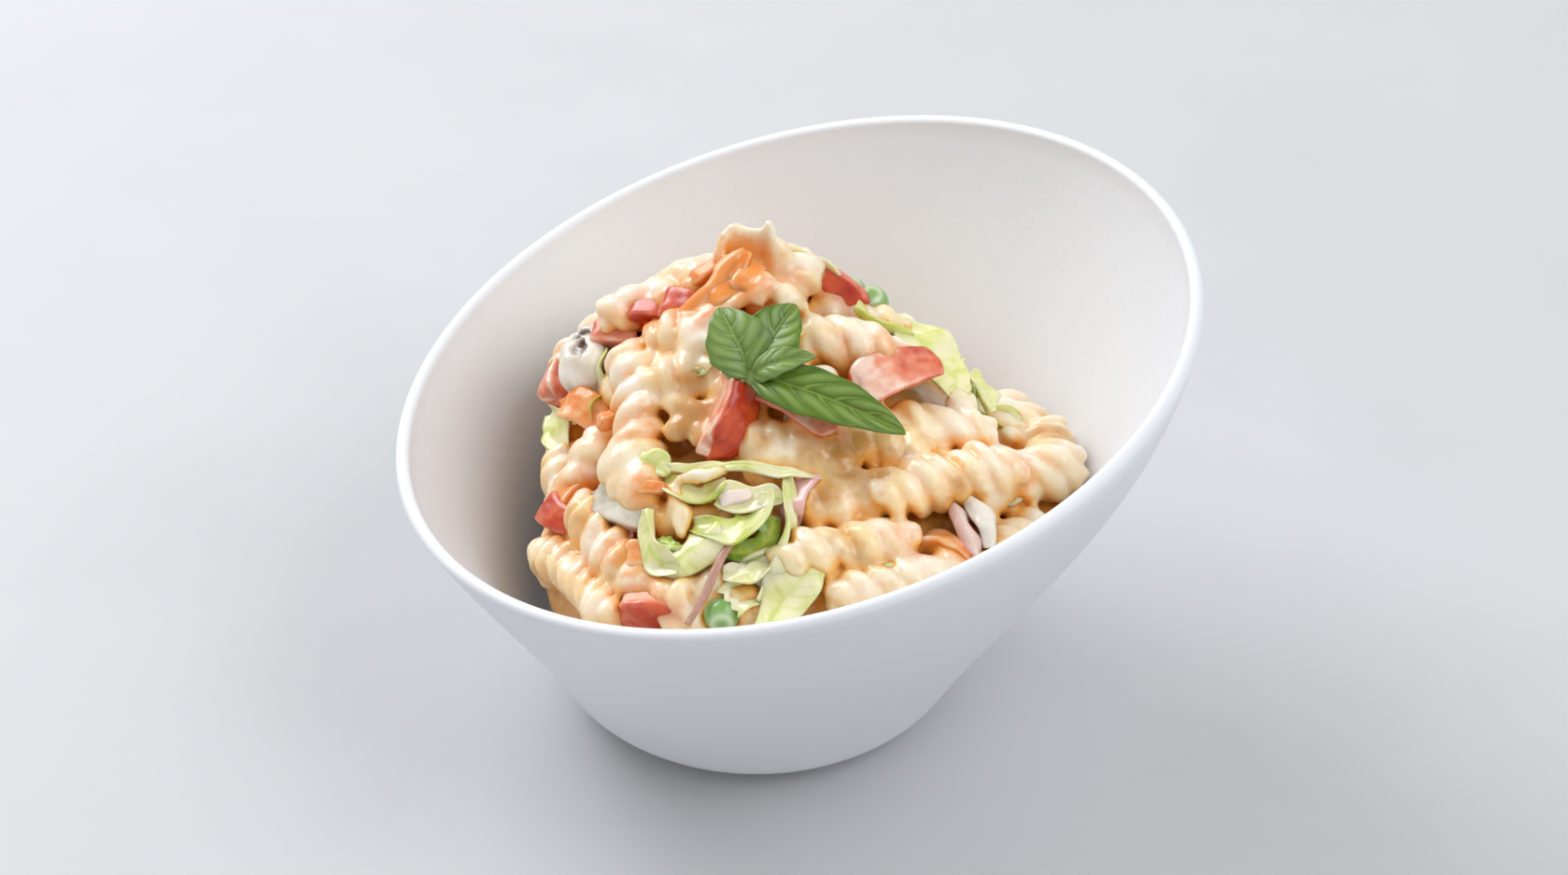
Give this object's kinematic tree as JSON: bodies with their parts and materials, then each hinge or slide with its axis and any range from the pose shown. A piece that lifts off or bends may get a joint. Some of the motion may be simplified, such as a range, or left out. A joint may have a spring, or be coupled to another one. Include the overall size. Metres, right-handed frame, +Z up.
{
  "type": "bowl of pasta salad",
  "caption": "Creamy pasta salad with vegetables and a basil sprig, heaped in a white bowl whose round rim slants up to one side.",
  "frame": {"origin": "centre of the bowl's round flat foot, on the surface that it stands on", "axes": "+Z up along the axis of the bowl; +X towards the high side of the rim; the picture looks along +Y"},
  "size_m": [0.1859, 0.1898, 0.1162],
  "materials": {
    "bowl": "matt white glaze with a fine pebbled grain",
    "salad": "glossy cream dressing over pasta and vegetables",
    "basil": "soft satin green leaf"
  },
  "bodies": {
    "root": {"bowl": "bowl", "salad_heap": "salad", "basil_sprig": "basil"}
  },
  "joints": []
}
